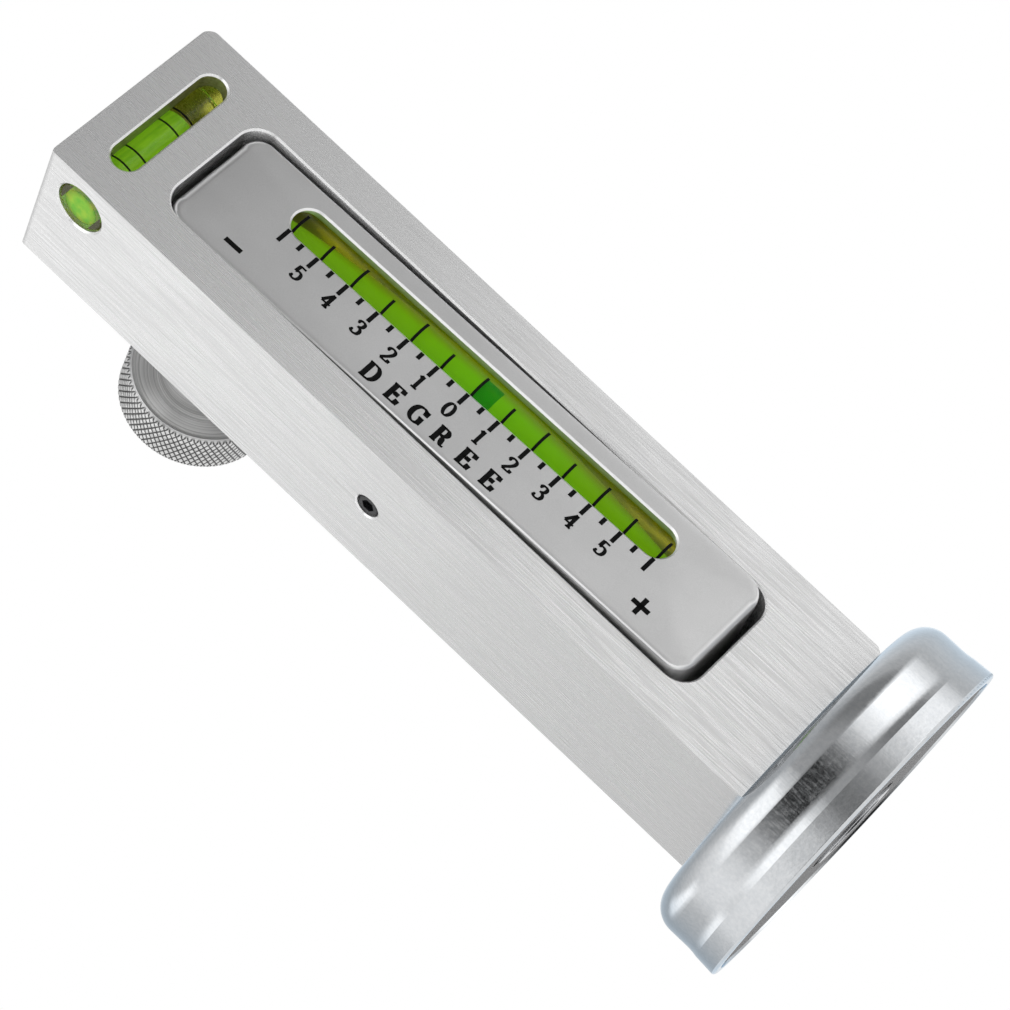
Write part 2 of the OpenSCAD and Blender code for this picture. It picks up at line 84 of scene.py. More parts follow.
def cleaned(mesh, weld, shortest=0.0):
    """Merges a mesh's points nearer than weld, drops edges of no length and turns its faces outwards."""
    body = bmesh.new()
    body.from_mesh(mesh)
    bmesh.ops.remove_doubles(body, verts=body.verts, dist=weld)
    if shortest:
        bmesh.ops.dissolve_degenerate(body, edges=body.edges, dist=shortest)
    bmesh.ops.recalc_face_normals(body, faces=body.faces)
    body.to_mesh(mesh)
    body.free()


def build(name, skins, sharp=30.0):
    """A mesh object from skins, each (grid of points in mm, wrap, material number), doubles merged."""
    points, faces, finishes, start = [], [], [], 0
    for grid, wrap, finish in skins:
        rows, columns = grid.shape[:2]
        made = grid_faces(rows, columns, wrap)
        points.append(grid.reshape(-1, 3) * MM)
        faces.append(made + start)
        finishes.append(np.full(len(made), finish))
        start += rows * columns
    mesh = bpy.data.meshes.new(name)
    mesh.from_pydata(np.concatenate(points).tolist(), [], np.concatenate(faces).tolist())
    mesh.polygons.foreach_set("material_index", np.concatenate(finishes))
    piece = bpy.data.objects.new(name, mesh)
    bpy.context.scene.collection.objects.link(piece)
    cleaned(mesh, 2e-7, 1e-8)
    mesh.polygons.foreach_set("use_smooth", np.ones(len(mesh.polygons), bool))
    mesh.set_sharp_from_angle(angle=math.radians(sharp))
    return piece


def turned(profile, steps):
    """A profile of (radius, height) carried round the Z axis: (r cos a, r sin a, h)."""
    a = np.linspace(0, 2 * math.pi, steps, endpoint=False)
    r, h = np.asarray(profile, float)[:, :1], np.asarray(profile, float)[:, 1:]
    return np.stack([r * np.cos(a), r * np.sin(a), h + 0 * a], -1)


def feed(tree, socket, value):
    """Gives a socket a number, a colour or another step's result."""
    if isinstance(value, bpy.types.NodeSocket):
        tree.links.new(value, socket)
    else:
        socket.default_value = (*value, 1) if isinstance(value, tuple) else value


def start_finish(name, colour, metallic, roughness):
    """A material with these constants on its surface shader; returns it, its tree and the shader."""
    finish = bpy.data.materials.new(name)
    finish.use_nodes = True
    shader = finish.node_tree.nodes["Principled BSDF"]
    shader.inputs["Base Color"].default_value = (*colour, 1)
    shader.inputs["Metallic"].default_value = metallic
    shader.inputs["Roughness"].default_value = roughness
    return finish, finish.node_tree, shader


def node_math(tree, kind, *values):
    """One arithmetic step in a node tree, each value a number or another step's result."""
    step = tree.nodes.new("ShaderNodeMath")
    step.operation = kind
    for socket, value in zip(step.inputs, values):
        feed(tree, socket, value)
    return step.outputs[0]


def vector_step(tree, kind, *vectors):
    """One step of vector arithmetic on other steps' results; returns its node."""
    step = tree.nodes.new("ShaderNodeVectorMath")
    step.operation = kind
    for socket, vector in zip(step.inputs, vectors):
        tree.links.new(vector, socket)
    return step


def split_up(tree, vector):
    """A vector's X, Y and Z, by name."""
    parts = tree.nodes.new("ShaderNodeSeparateXYZ")
    tree.links.new(vector, parts.inputs[0])
    return parts.outputs


def between(tree, value, low, high, at_low, at_high, run="LINEAR"):
    """A value's run from low to high brought to run from at_low to at_high, and held outside."""
    span = tree.nodes.new("ShaderNodeMapRange")
    span.interpolation_type = run
    for name, number in zip(("From Min", "From Max", "To Min", "To Max"), (low, high, at_low, at_high)):
        span.inputs[name].default_value = number
    tree.links.new(value, span.inputs["Value"])
    return span.outputs["Result"]


def mixed(tree, share, first, second, how="MIX"):
    """Two colours mixed by a share, each a number, a colour or another step's result."""
    mix = tree.nodes.new("ShaderNodeMix")
    mix.data_type = "RGBA"
    mix.blend_type = how
    for name, value in (("Factor", share), ("A", first), ("B", second)):
        feed(tree, mix.inputs[name], value)
    return mix.outputs["Result"]


def shader_mix(tree, share, first, second):
    """Two shaders mixed by a share."""
    mix = tree.nodes.new("ShaderNodeMixShader")
    for socket, source in zip(mix.inputs, (share, first, second)):
        tree.links.new(source, socket)
    return mix.outputs[0]


floor_rings, floor_level = (28.5, 60, 400, 4000), -0.4
floor = build("studio_floor", [(turned([[r, floor_level] for r in floor_rings], 96), True, 0)])
if floor.data.polygons[0].normal.z < 0:
    floor.data.flip_normals()
floor_paint, paint, matt = start_finish("studio_floor", (0.83, 0.83, 0.83), 0.0, 0.9)
matt.inputs["Specular IOR Level"].default_value = 0.1
white = paint.nodes.new("ShaderNodeEmission")
white.inputs["Strength"].default_value = 0.9
asked_by = paint.nodes.new("ShaderNodeLightPath")
top_side = shader_mix(paint, asked_by.outputs["Is Glossy Ray"], matt.outputs[0], white.outputs[0])
# from here to there, in metres from the gauge, the camera sees the floor rise into the white sweep
sweep_starts, sweep_ends = 0.16, 0.75
way_off = vector_step(paint, "LENGTH", paint.nodes.new("ShaderNodeTexCoord").outputs["Object"])
rise = between(paint, way_off.outputs["Value"], sweep_starts, sweep_ends, 0, 1, "SMOOTHSTEP")
only_seen = node_math(paint, "MULTIPLY", rise, asked_by.outputs["Is Camera Ray"])
backdrop = paint.nodes.new("ShaderNodeEmission")
sweep = shader_mix(paint, only_seen, top_side, backdrop.outputs[0])
side = paint.nodes.new("ShaderNodeNewGeometry")
clear = paint.nodes.new("ShaderNodeBsdfTransparent")
either = shader_mix(paint, side.outputs["Backfacing"], sweep, clear.outputs[0])
paint.links.new(either, paint.nodes["Material Output"].inputs["Surface"])
floor.data.materials.append(floor_paint)

sky = bpy.context.scene.world or bpy.data.worlds.new("studio")
bpy.context.scene.world = sky
sky.use_nodes = True
room = sky.node_tree
room.nodes.clear()


def band_of_light(value, reach, levels):
    """A ramp of greys over a value that runs from -reach to reach: levels are (value, grey) pairs."""
    ramp = room.nodes.new("ShaderNodeValToRGB")
    ramp.color_ramp.interpolation = "EASE"
    marks = ramp.color_ramp.elements
    for k, (at, grey) in enumerate(levels):
        part = (at + reach) / (2 * reach)
        mark = marks[-1] if k == len(levels) - 1 else marks[0] if k == 0 else marks.new(part)
        mark.color = (grey, grey, grey, 1)
    run = node_math(room, "DIVIDE", node_math(room, "SUBTRACT", value, -reach), 2 * reach)
    room.links.new(run, ramp.inputs["Fac"])
    return ramp.outputs["Color"]


def background(colour, strength=1.0):
    """The room's light in a colour, or in another step's result."""
    back = room.nodes.new("ShaderNodeBackground")
    back.inputs["Strength"].default_value = strength
    feed(room, back.inputs["Color"], colour)
    return back.outputs[0]


ray = room.nodes.new("ShaderNodeLightPath")
facing = split_up(room, room.nodes.new("ShaderNodeTexCoord").outputs["Generated"])
# round the room, in degrees right of straight in front of the scale, and up from the floor
from_front = node_math(room, "ARCTAN2", facing["X"], node_math(room, "MULTIPLY", facing["Y"], -1.0))
round_room = node_math(room, "DEGREES", from_front)
height = node_math(room, "DEGREES", node_math(room, "ARCSINE", facing["Z"]))

# how bright the room is round about, near the floor and higher up
near_floor = [
    (-180, 0.52), (-165, 0.56), (-149, 0.62), (-122, 0.95), (-110, 1.00), (-98, 0.90), (-80, 0.58),
    (-62, 0.22), (-49, 0.03), (-20, 0.03), (-8, 0.20), (3, 0.55), (18, 1.15), (32, 1.50), (40, 1.62),
    (58, 1.45), (71, 1.00), (82, 0.60), (110, 0.72), (130, 0.84), (142, 1.08), (152, 0.88),
    (165, 0.62), (180, 0.52),
]
higher_up = [
    (-180, 0.52), (-165, 0.58), (-149, 0.68), (-112, 0.92), (-92, 1.25), (-80, 1.40), (-52, 1.32),
    (-40, 0.78), (-28, 0.40), (-5, 0.38), (28, 0.24), (50, 0.26), (70, 0.50), (110, 0.72),
    (140, 0.95), (152, 0.80), (165, 0.60), (180, 0.52),
]


def rising(low, high):
    """How far a direction has risen between two heights, from 0 to 1, with soft ends."""
    return between(room, height, low, high, 0, 1, "SMOOTHSTEP")


low_walls, high_walls = (band_of_light(round_room, 180, levels) for levels in (near_floor, higher_up))
walls = mixed(room, rising(5, 14), low_walls, high_walls)
# a reflector left of and behind the gauge
beside = [(-180, 0.0), (-168, 0.5), (-155, 0.6), (-140, 0.6), (-122, 0.0), (180, 0.0)]
across = [(-90, 0.0), (4, 0.0), (13, 1.0), (18, 1.0), (30, 0.0), (90, 0.0)]
panel = mixed(room, 1.0, band_of_light(round_room, 180, beside), band_of_light(height, 90, across), "MULTIPLY")
roof = mixed(room, rising(48, 80), mixed(room, 1.0, walls, panel, "ADD"), (0.46, 0.47, 0.48))
shiny = node_math(room, "MAXIMUM", ray.outputs["Is Glossy Ray"], ray.outputs["Is Transmission Ray"])
lit = shader_mix(room, shiny, background((1, 1, 1), 0.42), background(roof))
shown = shader_mix(room, ray.outputs["Is Camera Ray"], lit, background((1, 1, 1)))
room.links.new(shown, room.nodes.new("ShaderNodeOutputWorld").inputs["Surface"])

lamps_face = np.array([0, 0, 0.08])


def soft_box(name, azimuth, elevation, distance, width, height, power):
    """An area lamp at an azimuth right of the scale's own facing, in metres, turned towards the gauge."""
    lamp = bpy.data.objects.new(name, bpy.data.lights.new(name, "AREA"))
    bpy.context.scene.collection.objects.link(lamp)
    lamp.data.shape = "RECTANGLE"
    lamp.data.size, lamp.data.size_y, lamp.data.energy = width, height, power
    a, e = math.radians(azimuth), math.radians(elevation)
    away = np.array([math.sin(a) * math.cos(e), -math.cos(a) * math.cos(e), math.sin(e)])
    across = np.array([math.cos(a), math.sin(a), 0.0])
    top = np.cross(away, across)
    stood(lamp, across, top, away, away * distance + lamps_face)
    lamp.visible_camera = False
    lamp.visible_glossy = False  # the room's own pattern is what metal mirrors
soft_box("left_box", -84, 14, 0.9, 0.70, 0.9, 8.0)
soft_box("right_box", 52, 8, 1.0, 0.70, 0.9, 4.0)
soft_box("top_box", -20, 74, 1.1, 0.9, 0.9, 3.0)


# ---------------------------------------------------------------------------------------------
# Bar: a block of aluminium, sawn to length, its pocket milled and its faces brushed along the
# bar on a belt, with the edges broken by hand. A copy with squarer left corners stands for it.
def own_place(tree):
    """Where a point lies on the piece, in metres."""
    return tree.nodes.new("ShaderNodeTexCoord").outputs["Object"]


def grain(tree, place, per_metre, detail=4.0, seed=0.0):
    """Noise with so many spots to the metre along each axis, so a low number makes long streaks."""
    stretch = tree.nodes.new("ShaderNodeMapping")
    stretch.inputs["Scale"].default_value = per_metre
    stretch.inputs["Location"].default_value = (seed, seed * 1.7, seed * 0.3)
    tree.links.new(place, stretch.inputs["Vector"])
    noise = tree.nodes.new("ShaderNodeTexNoise")
    noise.inputs["Scale"].default_value = 1.0
    noise.inputs["Detail"].default_value = detail
    tree.links.new(stretch.outputs[0], noise.inputs["Vector"])
    return noise.outputs["Fac"]

def shade(tree, socket, value, low, high, dark, light):
    """Colours a socket from dark to light as the value runs from low to high."""
    tree.links.new(mixed(tree, between(tree, value, low, high, 0, 1), dark, light), socket)


def roughen(tree, shader, value, at_low, at_high, low=0.3, high=0.7):
    """Roughness from at_low to at_high as the value runs from low to high."""
    tree.links.new(between(tree, value, low, high, at_low, at_high), shader.inputs["Roughness"])


def two_parts(tree, first, share, second, rest):
    """Two values added, each times its own share."""
    return node_math(
        tree, "ADD", node_math(tree, "MULTIPLY", first, share), node_math(tree, "MULTIPLY", second, rest)
    )
def raise_by(tree, shader, height, depth):
    """Bumps the surface by a height field, depth metres from its low to its high."""
    bump = tree.nodes.new("ShaderNodeBump")
    bump.inputs["Strength"].default_value = 1.0
    bump.inputs["Distance"].default_value = depth
    tree.links.new(height, bump.inputs["Height"])
    tree.links.new(bump.outputs[0], shader.inputs["Normal"])


def dress(node, finish):
    """Gives a CAD node its finish."""
    for place in nodes[node].material_slots:
        place.material = finish


def way_it_faces(tree):
    """The surface's own direction along X, Y and Z, by name."""
    return split_up(tree, tree.nodes.new("ShaderNodeTexCoord").outputs["Normal"])


def rubbed_edge(tree, facing):
    """How far a surface is turned off all three axes, from 0 on a face to 1 on a broken edge, where a
    highlight is painted.
    """
    straight = node_math(tree, "ABSOLUTE", facing["X"])
    for way in "YZ":
        straight = node_math(tree, "MAXIMUM", straight, node_math(tree, "ABSOLUTE", facing[way]))
    return between(tree, straight, 0.86, 0.985, 1, 0)


def grained(
    name, colour, metallic, roughness, spots, detail, seed, dark, light, rough=None, depth=0.0, low=0.35
):
    """A finish whose colour, roughness and height follow one noise."""
    finish, tree, shader = start_finish(name, colour, metallic, roughness)
    lay = grain(tree, own_place(tree), spots, detail, seed)
    shade(tree, shader.inputs["Base Color"], lay, low, 1 - low, dark, light)
    if rough:
        roughen(tree, shader, lay, *rough)
    if depth:
        raise_by(tree, shader, lay, depth)
    return finish
brushed, tree, shader = start_finish("brushed_aluminium", (0.66, 0.66, 0.66), 0.80, 0.28)
place = own_place(tree)
up_face = way_it_faces(tree)
on_end = between(tree, node_math(tree, "ABSOLUTE", up_face["Z"]), 0.7, 0.9, 0, 1)


def belt_marks(along, across, detail, seed):
    """Streaks along the bar on its sides, and across it on its ends."""
    sides = grain(tree, place, (across, across, along), detail, seed)
    ends = grain(tree, place, (along, across, across), detail, seed + 3)
    mix = tree.nodes.new("ShaderNodeMix")
    tree.links.new(on_end, mix.inputs["Factor"])
    tree.links.new(sides, mix.inputs["A"])
    tree.links.new(ends, mix.inputs["B"])
    return mix.outputs["Result"]


fine = belt_marks(110, 7000, 3.5, 0.0)
coarse = belt_marks(50, 2800, 2.0, 5.0)
marks = two_parts(tree, fine, 0.86, coarse, 0.14)
# painted highlight: the bar's broken edges are coloured brighter
grain_and_edge_highlight = node_math(tree, "ADD", marks, node_math(tree, "MULTIPLY", rubbed_edge(tree, up_face), 0.72))
shade(tree, shader.inputs["Base Color"], grain_and_edge_highlight, 0.36, 1.334, (0.61, 0.61, 0.61), (0.92, 0.92, 0.92))
roughen(tree, shader, marks, 0.34, 0.24, 0.36, 0.62)
raise_by(tree, shader, marks, 0.000003)
def corners_of(node):
    """A CAD node's corners in mm, as an array of (x, y, z)."""
    solid = nodes[node].data
    places = np.empty(len(solid.vertices) * 3)
    solid.vertices.foreach_get("co", places)
    return places.reshape(-1, 3) / MM


def redrawn(name, node, places, leans=0.0):
    """A copy of a CAD node with its corners at other places; faces square to a leaning frame stay flat."""
    copy = bpy.data.objects.new(name, bpy.data.meshes.new(name))
    bpy.context.scene.collection.objects.link(copy)
    faces = [tuple(face.vertices) for face in nodes[node].data.polygons]
    copy.data.from_pydata((places * MM).tolist(), [], faces)
    cleaned(copy.data, 2e-6)
    ways = np.empty(len(copy.data.polygons) * 3)
    copy.data.polygons.foreach_get("normal", ways)
    x, y, z = ways.reshape(-1, 3).T
    c, s = math.cos(leans), math.sin(leans)
    square = np.stack([x, y * c + z * s, z * c - y * s])
    copy.data.polygons.foreach_set("use_smooth", np.abs(square).max(0) < 0.9999)
    copy.data.set_sharp_from_angle(angle=math.radians(30))
    return copy
def squarer(off, power):
    """How much farther out than a circle a superellipse lies along each offset: |off|_2 / |off|_power."""
    return np.hypot(off[:, 0], off[:, 1]) / ((np.abs(off) ** power[:, None]).sum(1) ** (1 / power))


# The bar's right-hand corners are rounded off, and its left-hand ones only just broken: the copy
# has each left corner drawn out from its arc.
corner_x, corner_power = -14.8, 10.0
places = corners_of("body_bar")
for corner_z, way in ((148.95, 1), (16.0, -1)):
    middle = np.array([corner_x, corner_z])
    off = places[:, [0, 2]] - middle
    taken = (off[:, 0] < -0.1) & (off[:, 1] * way > 0.1)
    far = squarer(off[taken], np.full(taken.sum(), corner_power))
    places[np.ix_(taken, [0, 2])] = middle + off[taken] * far[:, None]
bar = redrawn("brushed_bar", "body_bar", places)

# painted reflection and painted shade: the level window's wall, close round the vial, is coloured a darker
# olive green
window_z, window_high, window_wide, window_front, window_back = 143.5, 2.7, 16, -12.9, -8.0
painted_green_reflection = grained(
    "window_wall_painted_reflection", (0.34, 0.35, 0.15), 0.6, 0.4, (900, 3000, 3000), 3.0, 6.0,
    (0.26, 0.27, 0.10), (0.40, 0.41, 0.20), (0.45, 0.35),
)
bar.data.materials.append(brushed)
bar.data.materials.append(painted_green_reflection)
centres = np.empty(len(bar.data.polygons) * 3)
bar.data.polygons.foreach_get("center", centres)
x, y, z = centres.reshape(-1, 3).T / MM
in_window = (np.abs(z - window_z) < window_high) & (np.abs(x) < window_wide)
in_window &= (y > window_front) & (y < window_back)
bar.data.polygons.foreach_set("material_index", in_window.astype(int))
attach(bar, "housing")
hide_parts("body_bar")


# ---------------------------------------------------------------------------------------------
# Scale plate: an aluminium plate with a fine blasted skin, its front edge rounded. It rocks on a
# pin, and stands 1.75 degrees off the bar's front: sunk at its top, proud at its foot.
satin, tree, shader = start_finish("satin_aluminium", (0.60, 0.60, 0.60), 0.80, 0.34)
place = own_place(tree)
skin = grain(tree, place, (7000, 7000, 7000), 3.0, 1.0)
cloud = grain(tree, place, (120, 120, 60), 2.0, 2.0)
both = two_parts(tree, skin, 0.5, cloud, 0.5)
edge = rubbed_edge(tree, way_it_faces(tree))
# painted highlight: the plate's rounded edges are coloured brighter
grain_and_edge_highlight = node_math(tree, "ADD", both, node_math(tree, "MULTIPLY", edge, 1.3))
shade(tree, shader.inputs["Base Color"], grain_and_edge_highlight, 0.38, 1.918, (0.58, 0.58, 0.58), (0.97, 0.97, 0.97))
roughen(tree, shader, skin, 0.36, 0.28)
raise_by(tree, shader, skin, 0.000004)

tilt = math.radians(-1.75)
lean_c, lean_s = math.cos(tilt), math.sin(tilt)
front_y, pivot_y, pivot_z = -13.25, -0.2, 83.2


def on_plate(points):
    """Points given as if the plate stood straight, turned about its pin to where it really is."""
    x, y, z = points[..., 0], points[..., 1] - pivot_y, points[..., 2] - pivot_z
    return np.stack([x, pivot_y + y * lean_c - z * lean_s, pivot_z + y * lean_s + z * lean_c], -1)


def off_plate(points):
    """The way back: points on the leaning plate given as if it stood straight."""
    x, y, z = points[..., 0], points[..., 1] - pivot_y, points[..., 2] - pivot_z
    return np.stack([x, pivot_y + y * lean_c + z * lean_s, pivot_z - y * lean_s + z * lean_c], -1)


# Its front edge is rounded off fully at the two ends and only a little down the long sides: the
# copy has each point of the rounded edge drawn out, more where the outline faces sideways.
places = off_plate(corners_of("scale_plate"))
lowest, highest = places.min(0), places.max(0)
centre = (lowest + highest) / 2
edge_r, corner_r = 1.6, 3.55
inner_x, inner_z = (highest[0] - lowest[0]) / 2 - corner_r, (highest[2] - lowest[2]) / 2 - corner_r
across_x, across_z = places[:, 0] - centre[0], places[:, 2] - centre[2]
past = np.stack([np.abs(across_x) - inner_x, np.abs(across_z) - inner_z], 1)
past_corner = np.maximum(past, 0)
reach = np.hypot(*past_corner.T)
inside = np.where(reach > 0, corner_r - reach, corner_r - past.max(1))
turned_up = past_corner[:, 1] / np.maximum(reach, 1e-9)
faces_end = np.where(reach > 0, turned_up, (past[:, 1] > past[:, 0]).astype(float))
faces_side = np.sqrt(np.clip(1 - faces_end**2, 0, 1))
off = np.stack([edge_r - inside, edge_r - (places[:, 1] - lowest[1])], 1)
taken = (off > 0.02).all(1) & (reach > 0)
far = off[taken] * (squarer(off[taken], 2 + 5 * faces_side[taken]) - 1)[:, None]
places[taken, 0] += far[:, 0] * faces_side[taken] * np.sign(across_x[taken])
places[taken, 2] += far[:, 0] * faces_end[taken] * np.sign(across_z[taken])
places[taken, 1] -= far[:, 1]
plate = redrawn("satin_plate", "scale_plate", on_plate(places), tilt)
plate.data.materials.append(satin)
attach(plate, "rocker")
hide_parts("scale_plate")


# Scale marks: engraved lines, figures and signs filled with black. Each stroke is a flat pen
# line along a path, wide where it runs along the figure's height and thin across it.
black_fill = grained(
    "black_fill", (0.005, 0.005, 0.005), 0.0, 0.6, (9000, 9000, 9000), 2.0, 4.0,
    (0.003, 0.003, 0.003), (0.010, 0.010, 0.010), (0.5, 0.7), low=0.3,
)
black_fill.node_tree.nodes["Principled BSDF"].inputs["Specular IOR Level"].default_value = 0.04

fill_height = 0.03
fill_depth = 0.10


def capped(rings):
    """Rings of points with both ends closed to their middle points."""
    first = np.repeat(rings[:1].mean(1, keepdims=True), rings.shape[1], 1)
    last = np.repeat(rings[-1:].mean(1, keepdims=True), rings.shape[1], 1)
    return np.concatenate([first, rings, last])


def pen_line(path, width):
    """A bar of oblong section along a path of (x, z) on the plate's face: half the width to each side."""
    path = np.asarray(path, float)
    run = np.gradient(path, axis=0)
    run /= np.linalg.norm(run, axis=1, keepdims=True)
    out = np.stack([-run[:, 1], run[:, 0]], 1) * (np.broadcast_to(width, len(path)) / 2)[:, None]
    left, right_side = path + out, path - out
    low, high = front_y + fill_depth, front_y - fill_height
    corners = [(left, low), (left, high), (right_side, high), (right_side, low)]
    rings = np.stack([np.stack([c[:, 0], np.full(len(c), y), c[:, 1]], -1) for c, y in corners], 1)
    return (on_plate(capped(rings)), True, 0)


zero_z = 82.84
degree = 6.056
slot_x, slot_r, slot_half, slot_z = 4.1, 2.95, 34.7, 82.85
tick_width, long_tick, short_tick = 0.70, -1.5, -0.5
ticks = []
for half_degree in range(-12, 13):
    z = zero_z + half_degree * degree / 2
    beyond = max(0.0, abs(z - slot_z) - slot_half)
    edge = slot_x - math.sqrt(max(0.0, (slot_r + 0.3) ** 2 - beyond**2))
    start = short_tick if half_degree % 2 else long_tick
    ticks.append(pen_line([[start, z], [edge - 0.02, z]], tick_width))
scale_ticks = build("scale_ticks", ticks)


def smooth(knots, count=40):
    """A Catmull-Rom curve through the knots: in each span a cubic whose ends run with its neighbours."""
    p = np.asarray(knots, float)
    if len(p) == 2:
        return np.linspace(p[0], p[1], 6)
    p = np.concatenate([[2 * p[0] - p[1]], p, [2 * p[-1] - p[-2]]])
    t = np.linspace(0, len(p) - 3 - 1e-9, count)
    i = t.astype(int)
    u = (t - i)[:, None]
    a, b, c, d = p[i], p[i + 1], p[i + 2], p[i + 3]
    return 0.5 * (2 * b + (c - a) * u + (2 * a - 5 * b + 4 * c - d) * u**2 + (3 * b - a - 3 * c + d) * u**3)


def stem(top, foot):
    """A capital's upright with its two flat serifs, which run to top and foot."""
    return [[[0.22, 0.0], [0.22, 1.0]], [[0.05, 0.97], [top, 0.97]], [[0.05, 0.03], [foot, 0.03]]]


# Figures and capitals as paths in a box one unit high; a path of two points is a straight stroke.
oval = [[0.31 + 0.25 * math.sin(k * math.pi / 6), 0.5 + 0.46 * math.cos(k * math.pi / 6)] for k in range(13)]
figures = {
    "0": (0.62, [oval]),
    "1": (0.60, [[[0.32, 0.0], [0.32, 1.0]], [[0.32, 0.97], [0.14, 0.82]], [[0.12, 0.03], [0.52, 0.03]]]),
    "2": (0.62, [
        [[0.09, 0.74], [0.14, 0.90], [0.32, 0.97], [0.52, 0.88], [0.54, 0.68], [0.40, 0.44], [0.20, 0.22],
         [0.07, 0.06]],
        [[0.07, 0.06], [0.56, 0.06]], [[0.56, 0.03], [0.59, 0.24]],
    ]),
    "3": (0.62, [
        [[0.10, 0.80], [0.18, 0.93], [0.34, 0.97], [0.50, 0.88], [0.49, 0.67], [0.36, 0.56], [0.24, 0.53]],
        [[0.24, 0.53], [0.44, 0.49], [0.56, 0.32], [0.50, 0.11], [0.31, 0.03], [0.14, 0.07], [0.07, 0.19]],
    ]),
    "4": (0.66, [
        [[0.45, 0.97], [0.24, 0.62], [0.04, 0.30]], [[0.03, 0.29], [0.64, 0.29]], [[0.45, 0.0], [0.45, 0.99]],
        [[0.28, 0.03], [0.62, 0.03]],
    ]),
    "5": (0.60, [
        [[0.14, 0.95], [0.53, 0.93]], [[0.15, 0.97], [0.11, 0.50]],
        [[0.11, 0.51], [0.28, 0.60], [0.48, 0.54], [0.56, 0.33], [0.49, 0.12], [0.30, 0.03], [0.13, 0.07],
         [0.07, 0.18]],
    ]),
    "D": (0.88, [
        *stem(0.42, 0.42),
        [[0.40, 0.97], [0.62, 0.92], [0.78, 0.74], [0.82, 0.5], [0.78, 0.26], [0.62, 0.08], [0.40, 0.03]],
    ]),
    "E": (0.80, [
        *stem(0.72, 0.75), [[0.22, 0.51], [0.52, 0.51]],
        [[0.70, 1.0], [0.73, 0.74]], [[0.73, 0.0], [0.78, 0.30]], [[0.52, 0.63], [0.52, 0.39]],
    ]),
    "G": (0.90, [
        [[0.74, 0.74], [0.66, 0.90], [0.48, 0.98], [0.25, 0.90], [0.12, 0.68], [0.10, 0.44], [0.17, 0.18],
         [0.34, 0.04], [0.52, 0.02], [0.70, 0.10]],
        [[0.72, 0.02], [0.72, 0.42]], [[0.54, 0.43], [0.86, 0.43]], [[0.75, 0.66], [0.75, 0.98]],
    ]),
    "R": (0.92, [
        *stem(0.40, 0.40), [[0.38, 0.97], [0.56, 0.93], [0.66, 0.75], [0.56, 0.57], [0.38, 0.52]],
        [[0.22, 0.52], [0.40, 0.52]], [[0.40, 0.52], [0.56, 0.42], [0.63, 0.18], [0.72, 0.05], [0.88, 0.05]],
    ]),
    "-": (0.9, [[[0.0, 0.5], [0.9, 0.5]]]),
    "+": (0.9, [[[0.0, 0.5], [0.9, 0.5]], [[0.45, 0.05], [0.45, 0.95]]]),
}
balls = {"2": [[0.12, 0.76]], "3": [[0.13, 0.80], [0.11, 0.19]], "5": [[0.11, 0.18]]}


def written(sign, x, z, height, thin, thick):
    """One figure's strokes: its height runs along +X from x, and it reads down the bar, centred on z."""
    wide, paths = figures[sign]
    made = []
    for knots in paths:
        line = smooth(knots)
        run = np.gradient(line, axis=0)
        upright_share = np.abs(run[:, 1]) / np.linalg.norm(run, axis=1)
        width = thin + (thick - thin) * upright_share**1.5
        path = np.stack([x + line[:, 1] * height, z + (wide / 2 - line[:, 0]) * height], 1)
        made.append(pen_line(path, width))
    for u, v in balls.get(sign, []):
        t = np.linspace(-1, 1, 12)
        spot = np.stack([x + (v + 0.0 * t) * height, z + (wide / 2 - u) * height + t * 0.085 * height], 1)
        made.append(pen_line(spot, 0.17 * height * np.sqrt(np.clip(1.02 - t**2, 0, 1))))
    return made


numeral_x, numeral_off, numeral_high = -4.65, 0.25, 2.70
numerals = []
for k in range(-5, 6):
    numerals += written(str(abs(k)), numeral_x, zero_z + k * degree + numeral_off, numeral_high, 0.31, 0.62)
scale_numerals = build("scale_numerals", numerals)

word_x, word_starts, word_step, word_high = -8.95, 95.0, 4.72, 3.05
words = []
for k, letter in enumerate("DEGREE"):
    words += written(letter, word_x, word_starts - word_step * k, word_high, 0.32, 0.88)
words += written("-", -9.0, 122.9, 3.6, 0.80, 0.80)
words += written("+", -8.0, 42.8, 3.6, 0.80, 0.80)
scale_signs = build("scale_signs", words)
for marks_piece in (scale_ticks, scale_numerals, scale_signs):
    marks_piece.data.materials.append(black_fill)
    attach(marks_piece, "rocker")


# ---------------------------------------------------------------------------------------------
# Long vial: a clear, slightly yellow acrylic tube whose inside is ground to a barrel, filled with
# bright green liquid, with a bubble that rides along the barrel's front and black degree lines.
def moulded_acrylic(name, colour):
    """Clear tinted acrylic, hazed a little from its mould."""
    finish, tree, shader = start_finish(name, colour, 0.0, 0.03)
    shader.inputs["Transmission Weight"].default_value = 1.0
    shader.inputs["IOR"].default_value = 1.28
    shader.inputs["Specular IOR Level"].default_value = 0.03
    # painted light: the acrylic glows a faint yellow-green
    shader.inputs["Emission Color"].default_value = (0.60, 0.62, 0.05, 1)
    shader.inputs["Emission Strength"].default_value = 0.01
    haze = grain(tree, own_place(tree), (900, 900, 300), 3.0, 7.0)
    roughen(tree, shader, haze, 0.01, 0.04)
    raise_by(tree, shader, haze, 0.000002)
    return finish


acrylic = moulded_acrylic("acrylic", (0.62, 0.60, 0.06))
wetted = bpy.data.materials.new("wetted_wall")  # where the liquid meets the tube nothing shows
wetted.use_nodes = True
plain = wetted.node_tree
passing = plain.nodes.new("ShaderNodeBsdfTransparent")
passing.inputs["Color"].default_value = (1, 1, 1, 1)
plain.links.new(passing.outputs[0], plain.nodes["Material Output"].inputs["Surface"])

green, tree, shader = start_finish("green_liquid", (0.13, 0.24, 0.002), 0.0, 0.3)
place = own_place(tree)
depth_tone = grain(tree, place, (60, 60, 25), 2.0, 9.0)
